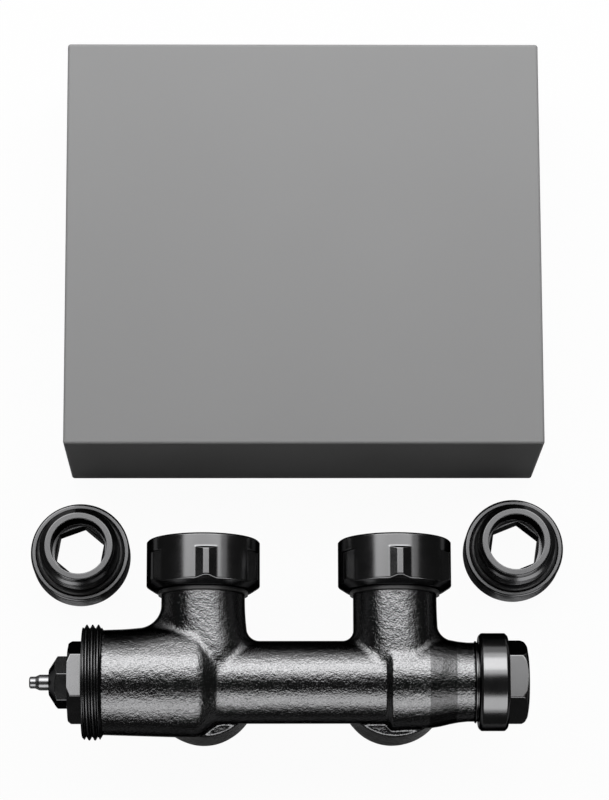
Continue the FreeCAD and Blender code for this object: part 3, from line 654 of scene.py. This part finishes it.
cube_size = 0.5         # mm
casting = level_surface("casting", casting_distance, (-52, -15.5, -22.3), (45.2, 24.3, 15.5), cube_size)
casting.data.materials.append(casting_finish)
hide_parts("valve_body")
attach(casting, "valve_block")
casting_box = np.array(casting.bound_box) * 1000
print("the casting measures in mm:", (casting_box.max(0) - casting_box.min(0)).round(1))

# %% [markdown]
# ## Turned ends of the casting
# Where the casting carries a thread it was turned on a lathe: the collar for the thermostatic
# head, the neck under the closing cap, the two stubs for the pipes, and the tips of the
# branches. Each is a closed ring from one profile. The threads cut into it by lowering the
# radius to the thread's own height wherever that is less.

# %% Rings with threads
thread_step = 0.14                             # mm between the rows of a threaded ring


def turned_ring(name, corners, axis, centre, body, finish, edge=0.15, columns=240, step=0.6,
                threads=(), hexagons=(), turn=0.0):
    """Closed ring: corners are (along, radius) round its section.

    Each thread is (start, end, crest, depth, pitch), and each hexagon is (start, end, lowest
    radius that it cuts, width across flats, turn)."""
    line = refined(softened(corners, edge, closed=True), step, closed=True)
    if threads:
        line = refined(line, thread_step, closed=True)
    along, angle = line[:, :1], turn_of(columns, turn)
    radius = np.broadcast_to(line[:, 1:], (len(line), columns))
    for thread in threads:
        radius = threaded(along, radius, angle, *thread)
    for hexagon in hexagons:
        radius = cut_to_flats(along, radius, angle, *hexagon)
    piece = skin(name, round_the_axis(along, radius, angle, axis, centre), ring=True)
    piece.data.materials.append(finish)
    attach(piece, body)
    return piece


collar = turned_ring(
    "head_collar",
    [(thread_end_x, chamber_bore), (thread_end_x, head_r - 0.75), (thread_end_x + 0.75, head_r),
     (thread_root_x - 0.9, head_r), (thread_root_x, thread_root_r), (thread_root_x, chamber_bore)],
    "x", (0, 0, 0), "valve_block", dark_thread, edge=0.12, columns=300,
    threads=[(thread_end_x - 0.1, thread_root_x - 0.4, head_r, 0.92, metric_pitch)])
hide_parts("valve_body")
neck = turned_ring(
    "cap_neck",
    [(neck_x - 0.6, neck_bore), (neck_x - 0.6, 10.1), (neck_x - 0.35, 10.6), (neck_x, 10.7),
     (neck_x, neck_r), (neck_end_x - 0.6, neck_r), (neck_end_x, 9.6), (neck_end_x, neck_bore)],
    "x", (0, 0, 0), "valve_block", turned_x, edge=0.15,
    threads=[(neck_x + 0.5, neck_end_x + 0.1, neck_r, 0.8, metric_pitch)])
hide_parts("valve_body")
for name, centre in (("flow", flow_x), ("return", return_x)):
    stub = turned_ring(
        f"{name}_pipe_stub",
        [(20.9, port_bore), (20.9, 12.3), (22.1, 12.3), (22.6, wide_r), (28.2, wide_r),
         (29.0, wide_r - 0.8), (29.0, port_bore + 1.6), (25.4, port_bore)],
        "back", (centre, 0, 0), "valve_block", turned_z, edge=0.15, columns=300,
        threads=[(22.4, 29.1, wide_r, 1.16, pipe_pitch)])
    # the groove holds the wire ring that keeps the nut on the branch
    tip = turned_ring(
        f"{name}_branch_tip",
        [(23.1, branch_bore), (23.1, branch_r), (24.9, branch_r), (24.9, 10.07), (26.56, 10.07),
         (26.56, branch_r), (29.1, branch_r), (29.6, branch_r - 0.5), (29.6, branch_bore)],
        "y", (centre, 0, 0), "valve_block", turned_y, edge=0.12, columns=160)
    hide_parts("valve_body")
    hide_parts("valve_body")

# %% [markdown]
# ## Union nuts
# Each nut is a round bush with six ribs for the spanner. The ribs are the corners of a hexagon
# 28 mm across its flats that stands out of a cylinder of 14.8 mm radius, and a lathe has cut
# their tips to a narrow land. So the outer radius is the larger of the cylinder and the
# trimmed hexagon, as a function of the angle and of the height.

# %% Union nuts
nut_start, nut_end, rib_end = 23.8, 37.0, 33.3  # places along the branch
bush_r, rib_r, nut_bore_r, nut_width = 14.8, 15.8, 12.06, 28.0
nut_columns = 480


def nut_outside(along, angle):
    """Larger of the bush's radius and the hexagon's, with the hexagon cut to its envelope."""
    bush = np.interp(
        along, [nut_start, nut_start + 1.2, nut_start + 1.4, nut_end - 0.5, nut_end - 0.15, nut_end],
        [12.8, 14.65, bush_r, bush_r, 14.5, 14.25])
    envelope = np.interp(
        along, [nut_start, nut_start + 1.2, nut_start + 2.0, rib_end - 0.6, rib_end, rib_end + 0.05],
        [12.8, 14.65, rib_r, rib_r, bush_r, 14.0])
    ribs = np.minimum(flats(angle, nut_width, 90 + nut_turn), envelope)
    gap = np.abs(bush - ribs)
    softening = 0.5 * np.maximum(0.12 - gap, 0) ** 2 / 0.12
    return np.maximum(bush, ribs) + np.where(along < rib_end, softening * 0.5, 0)


def union_nut(name, centre, body, node):
    """Ring whose outer rows come from the ribs' formula and whose inner rows are a profile: the
    thread's bore, the recess behind it and the hole on the branch with the wire ring's groove."""
    outer = np.concatenate([
        np.linspace(nut_start, nut_start + 2.0, 16), np.linspace(26.2, 32.5, 12),
        np.linspace(32.65, 33.4, 8), np.linspace(33.8, 36.4, 6), np.linspace(36.5, nut_end, 7)])[:, None]
    inner = softened([
        (nut_end, 14.2), (nut_end, 12.76), (36.3, nut_bore_r), (30.78, nut_bore_r), (30.78, 13.3),
        (29.68, 13.3), (29.68, 10.98), (26.56, 10.98), (26.56, 11.73), (24.9, 11.73), (24.9, 10.98),
        (nut_start, 10.98), (nut_start, 12.9)], 0.12)
    inner = refined(refined(inner[1:-1], 0.5), 0.16)
    angle = turn_of(nut_columns)
    along, radius = inner[:, :1], np.broadcast_to(inner[:, 1:], (len(inner), nut_columns))
    cut = (along > 30.85) & (along < 36.9) & (radius < 13.2)
    groove = nut_bore_r + thread_height(along, angle, pipe_pitch)
    radius = np.where(cut, np.maximum(radius, groove), radius)
    grid_along = np.concatenate([outer, along])
    grid_radius = np.concatenate([nut_outside(outer, angle), radius])
    piece = skin(name, round_the_axis(grid_along, grid_radius, angle, "y", (centre, 0, 0)), ring=True)
    piece.data.materials.append(turned_y)
    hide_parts(node)
    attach(piece, body)


union_nut("flow_union_nut", flow_x, "flow_nut", "union_nut_flow")
union_nut("return_union_nut", return_x, "return_nut", "union_nut_return")

# %% [markdown]
# ## Thermostatic insert
# The insert shows a hexagon 19 mm across, a smaller gland nut of 12 mm and the steel pin that
# the thermostatic head pushes. The bevel of a hexagon is where a cone cuts its corners, so the
# radius is the smaller of the flats and the cone.

# %% Insert, gland nut and pin
large_hex, small_hex = 19.0, 12.0              # widths across the flats
large_corner_r, small_corner_r = 10.97, 6.93   # radii at their corners
pin_bore = 2.13
end = thread_end_x
housing = turned_ring(
    "insert_head",
    [(insert_x, 4.9), (insert_x, large_corner_r - 0.87), (insert_x + 0.87, large_corner_r),
     (end - 0.05, large_corner_r), (end - 0.05, 9.5), (end + 10.8, 9.5), (end + 10.8, 7.8), (end + 12.5, 7.8),
     (end + 12.5, 9.5), (end + 14.2, 9.5), (end + 14.2, 6.5), (insert_x + 6.9, 6.5),
     (insert_x + 6.9, pin_bore), (insert_x + 4.9, pin_bore), (insert_x + 4.9, 4.9)],
    "x", (0, 0, 0), "valve_block", turned_x, edge=0.15, columns=360, step=0.25,
    hexagons=[(insert_x - 0.05, end - 0.04, 9.51, large_hex, insert_turn)], turn=insert_turn)
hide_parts("insert_housing")
gland = turned_ring(
    "gland_head",
    [(gland_x, pin_bore), (gland_x, 3.3), (gland_x + 2.3, small_corner_r), (insert_x - 0.03, small_corner_r),
     (insert_x - 0.03, 4.85), (insert_x + 4.87, 4.85), (insert_x + 4.87, 3.38), (insert_x + 2.95, 3.38),
     (insert_x + 2.95, pin_bore)],
    "x", (0, 0, 0), "valve_block", turned_x, edge=0.12, columns=360, step=0.2,
    hexagons=[(gland_x - 0.1, insert_x - 0.02, 4.86, small_hex, gland_turn)], turn=gland_turn)
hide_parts("gland_nut")


def turned_bar(name, corners, axis, centre, body, finish, edge=0.1, columns=160, step=0.5,
               hexagons=(), turn=0.0):
    """Solid of a profile that starts and ends on the axis, each end closed in a pole."""
    line = refined(softened(corners, edge), step)
    along, angle = line[:, :1], turn_of(columns, turn)
    radius = np.broadcast_to(line[:, 1:], (len(line), columns))
    for hexagon in hexagons:
        radius = cut_to_flats(along, radius, angle, *hexagon)
    piece = skin(name, round_the_axis(along, radius, angle, axis, centre), ring=False)
    piece.data.materials.append(finish)
    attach(piece, body)
    return piece


pin_end, pin_tip_r, pin_r = insert_x + 6.93, 1.55, 2.05
pin = turned_bar(
    "push_pin",
    [(pin_x, 0), (pin_x, pin_tip_r - 0.35), (pin_x + 0.3, pin_tip_r), (pin_x + 1.6, pin_tip_r),
     (pin_x + 2.7, pin_r), (pin_end, pin_r), (pin_end, 0)],
    "x", (0, 0, 0), "stem", steel_finish, edge=0.15, columns=64)
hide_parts("stem_pin")

# %% [markdown]
# ## Closing cap
# The cap over the return shut-off has a smooth skirt with a hexagon behind it and a domed end.
# Its profile starts on the axis inside the cap, goes out through the open rim, and comes back
# over the skirt, the hexagon and the dome to the axis.

# %% Closing cap
skirt_r, skirt_bevel, skirt_bore, gasket_room = 12.7, 0.75, 10.33, 8.2
cap = turned_bar(
    "cap_with_hexagon",
    [(cap_end_x - 2.4, 0), (cap_end_x - 2.4, gasket_room), (neck_end_x + 1.06, gasket_room),
     (neck_end_x + 1.06, skirt_bore), (cap_x, skirt_bore), (cap_x, skirt_r - skirt_bevel),
     (cap_x + skirt_bevel, skirt_r), (cap_hex_x - skirt_bevel, skirt_r), (cap_hex_x, skirt_r - skirt_bevel),
     (cap_hex_x, large_corner_r), (cap_end_x - 2.0, large_corner_r), (cap_end_x - 1.1, 10.4),
     (cap_end_x - 0.5, 9.4), (cap_end_x - 0.15, 7.4), (cap_end_x, 5.0), (cap_end_x, 0)],
    "x", (0, 0, 0), "cap", turned_x, edge=0.25, columns=360, step=0.3,
    hexagons=[(cap_hex_x + 0.1, cap_end_x + 0.1, 0.0, large_hex, cap_turn)], turn=cap_turn)
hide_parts("closing_cap")

# %% [markdown]
# ## Connection nipples
# Each nipple screws into the radiator with its narrow end and takes a union nut on its wide
# end. A hexagonal key turns it from inside. The black ring lies in a recess between the two
# threads.

# %% Nipples and their sealing rings
nipple_columns = 256


def connection_nipple(name, x, y, turn, body, node):
    """Closed ring from the wide end on the table up to the narrow end and back down inside,
    where the hexagon for the key lies between the two tapers."""
    corners = [
        (0, 9.0), (0, 12.4), (0.8, wide_r), (9.1, wide_r), (9.5, 12.8), (9.5, 11.82), (8.6, 11.82),
        (8.6, 9.98), (11.4, 9.98), (11.9, narrow_r), (18.0, narrow_r), (19.5, narrow_r - 1.5),
        (19.5, 7.38), (11.5, 7.38), (11.5, small_corner_r), (5.5, small_corner_r), (5.5, 6.9)]
    line = refined(refined(softened(corners, 0.15, closed=True), 0.3, closed=True), 0.15, closed=True)
    along, angle = line[:, :1], turn_of(nipple_columns, turn)
    radius = np.broadcast_to(line[:, 1:], (len(line), nipple_columns))
    radius = threaded(along, radius, angle, 0.2, 9.0, wide_r, 1.1, pipe_pitch)
    radius = threaded(along, radius, angle, 11.6, 19.0, narrow_r, 1.0, pipe_pitch)
    key = (along > 5.0) & (along < 11.45) & (radius < 7.1)
    radius = np.where(key, np.minimum(radius, flats(angle, small_hex, turn)), radius)
    piece = skin(name, round_the_axis(along, radius, angle, "z", (x, y, 0), table_shift), ring=True)
    piece.data.materials.append(dark_nipple)
    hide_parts(node)
    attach(piece, body)


def sealing_ring(name, x, y, body, node):
    """Torus: a circle of the cord's radius carried round the nipple."""
    cord_r, middle_r, height = 0.82, 10.83, 9.45
    cord = np.linspace(0, 2 * math.pi, 32, endpoint=False)[:, None]
    angle = turn_of(160)
    along = height + cord_r * np.sin(cord)
    radius = middle_r + cord_r * np.cos(cord) + 0 * angle
    piece = skin(name, round_the_axis(along, radius, angle, "z", (x, y, 0), table_shift), ring=True)
    piece.data.materials.append(seal_finish)
    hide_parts(node)
    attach(piece, body)


for side, x, y, turn in (("left", -58.2, 37.7, 20), ("right", 57.8, 38.8, 22)):
    connection_nipple(f"{side}_connection_nipple", x, y, turn, f"{side}_nipple", f"nipple_{side}")
    sealing_ring(f"{side}_sealing_ring", x, y, f"{side}_nipple", f"nipple_{side}_seal")

# %% [markdown]
# ## Parts whose CAD shape is right
# The cover, its clips and the parts inside the block keep their CAD shapes and get a finish
# each. The cover's edges are already rounded in the CAD model. The seals, which aren't
# named here, are rubber.

# %% Finishes for the CAD nodes
finish_of = {
    "cover_shell": cover_finish, "cover_clips": cover_finish, "nut_stop_rings": ring_finish,
    "preset_cage": ring_finish, "disc_nut": steel_finish, "stem_spindle": steel_finish,
    "return_spring": steel_finish, "wire_rings": steel_finish, "disc_carrier": steel_finish,
    "guide_plate": turned_x, "bypass_plug": turned_x, "return_housing": turned_x,
    "shutoff_spindle": turned_x, "shutoff_cone": turned_x,
}
replaced = {"valve_body", "union_nut_flow", "union_nut_return", "insert_housing", "gland_nut", "stem_pin",
            "closing_cap", "nipple_left", "nipple_right", "nipple_left_seal", "nipple_right_seal"}
for node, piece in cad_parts.items():
    finish = finish_of.get(node, seal_finish)
    piece.data.materials.clear()
    piece.data.materials.append(finish)
print("CAD nodes that show:", sorted(set(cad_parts) - replaced))

# %% [markdown]
# ## Table and light
# The set is a small pale table under two groups of large soft lamps, one on the cover's side
# and one on the valve's, with a dark gap between them round the camera. That gap draws the
# black line along the top of the pipes. The table ends not far below the picture's edge,
# because a longer one would mirror in the lower side of the pipes and take their dark edges
# away. The camera sees it close to white, as the picture's ground is, and a small share of its
# look stays plain shaded surface, which keeps the shadows. Mirrored it is a mid grey. Round
# the table the camera sees the same white, and mirrors see a dark room.

# %% Table
white_share, mirrored_share = 0.96, 0.2        # of the plain white, for the camera and in mirrors
table_finish = Finish("pale_table")
speck = table_finish.noise(3.0, detail=2)
camera_ray, glossy_ray, transmission_ray = [
    table_finish.node("ShaderNodeLightPath", output=kind)
    for kind in ("Is Camera Ray", "Is Glossy Ray", "Is Transmission Ray")]
straight = table_finish.math_of("MAXIMUM", camera_ray, transmission_ray)
seen = table_finish.math_of("MAXIMUM", straight, glossy_ray * mirrored_share)
pale = table_finish.shade(speck, (0.94, 0.94, 0.94), (0.95, 0.95, 0.95))
shaded = table_finish.node("ShaderNodeBsdfPrincipled", None, {
    "Base Color": table_finish.shade(seen, (0.27, 0.27, 0.27), (1, 1, 1), pale), "Roughness": 0.9,
    "Specular IOR Level": 0.1})
white = table_finish.node("ShaderNodeEmission", None, {"Color": (1, 1, 1, 1), "Strength": 1.0})
mixed = table_finish.node("ShaderNodeMixShader", None, {0: seen * white_share, 1: shaded, 2: white})
table_end = table_finish.tree.nodes.new("ShaderNodeOutputMaterial")
table_finish.tree.links.new(mixed.link, table_end.inputs["Surface"])
half_width, front, back = 0.15, -0.136, 0.15   # metres
top = -0.00005                                 # a hair under what stands on it, so no faces coincide
corners = np.array([[-half_width, front, top], [half_width, front, top],
                    [half_width, back, top], [-half_width, back, top]])
table = add_piece("table", corners, [np.array([[0, 1, 2, 3]])], smooth=False)
table.data.materials.append(table_finish.material)

# %% [markdown]
# A lamp here lights either plain surfaces or mirrors. That way the cover's even grey and the
# bright bands on the metal can be set one without the other. The lamps for mirrors overlap, a
# wide weak one and narrower brighter ones, so the bright bands fade out at their sides.

# %% Lamps and surroundings
def soft_lamp(name, middle, aim, width, height, radiance, glossy):
    """Rectangular lamp; its power is its radiance times its area times pi."""
    data = bpy.data.lights.new(name, "AREA")
    data.shape = "RECTANGLE"
    data.size, data.size_y = width, height
    data.energy = radiance * width * height * math.pi
    lamp = bpy.data.objects.new(name, data)
    back = np.array(middle, float) - np.array(aim, float)
    back /= np.linalg.norm(back)
    side = np.array([1.0, 0, 0])
    rise = np.cross(back, side)
    turn = np.eye(4)
    turn[:3, 0], turn[:3, 1], turn[:3, 2], turn[:3, 3] = side, rise, back, middle
    lamp.matrix_world = Matrix(turn.tolist())
    lamp.visible_camera = False
    lamp.visible_diffuse, lamp.visible_glossy = not glossy, glossy
    bpy.context.scene.collection.objects.link(lamp)


def lamp_over_block(name, start, end, left, right, radiance, glossy, reach=0.65):
    """Lamp across an arc over the block: start and end are degrees from straight up, with the
    cover's side positive, and its ends are x places. Each lamp stands a little further off
    than the one before, because lamps in one plane would hide each other in mirrors."""
    reach += 0.02 * len(bpy.data.lights)
    near, far = [np.array([math.sin(a), math.cos(a)]) * reach for a in map(math.radians, (start, end))]
    block = np.array([0, *in_frame([0, 0, 0])[1:]])
    middle = block + [(left + right) / 2, *((near + far) / 2)]
    aim = block + [(left + right) / 2, 0, 0]
    soft_lamp(name, middle, aim, right - left, float(np.linalg.norm(far - near)), radiance, glossy)


lamp_over_block("cover_side_lamp", 12, 80, -0.50, 0.56, 1.75, glossy=False, reach=0.52)
lamp_over_block("cover_side_gloss_wide", 6, 86, -0.54, 0.62, 0.9, glossy=True)
lamp_over_block("cover_side_gloss_middle", 11, 64, -0.54, 0.45, 1.9, glossy=True)
lamp_over_block("cover_side_gloss_core", 21, 51, -0.50, 0.35, 3.1, glossy=True)
lamp_over_block("valve_side_lamp", -35, -75, -0.58, 0.70, 0.10, glossy=False)
lamp_over_block("valve_side_gloss_wide", -38, -84, -0.58, 0.70, 1.2, glossy=True)
lamp_over_block("valve_side_gloss_core", -43, -76, -0.58, 0.70, 1.8, glossy=True)
world = bpy.data.worlds.new("studio")
world.use_nodes = True
dim = world.node_tree.nodes["Background"]
dim.inputs["Color"].default_value = (0.045, 0.045, 0.045, 1)
plain_white = world.node_tree.nodes.new("ShaderNodeBackground")
plain_white.inputs["Color"].default_value = (1, 1, 1, 1)
ray = world.node_tree.nodes.new("ShaderNodeLightPath")
ground = world.node_tree.nodes.new("ShaderNodeMixShader")
world.node_tree.links.new(ray.outputs["Is Camera Ray"], ground.inputs[0])
world.node_tree.links.new(dim.outputs[0], ground.inputs[1])
world.node_tree.links.new(plain_white.outputs[0], ground.inputs[2])
world.node_tree.links.new(ground.outputs[0], world.node_tree.nodes["World Output"].inputs["Surface"])
bpy.context.scene.world = world
print("lamps:", len(bpy.data.lights))

# %% [markdown]
# ## Finish
# The visual model has to stay inside the CAD model's box.

# %% Finish
print("the scene is built")
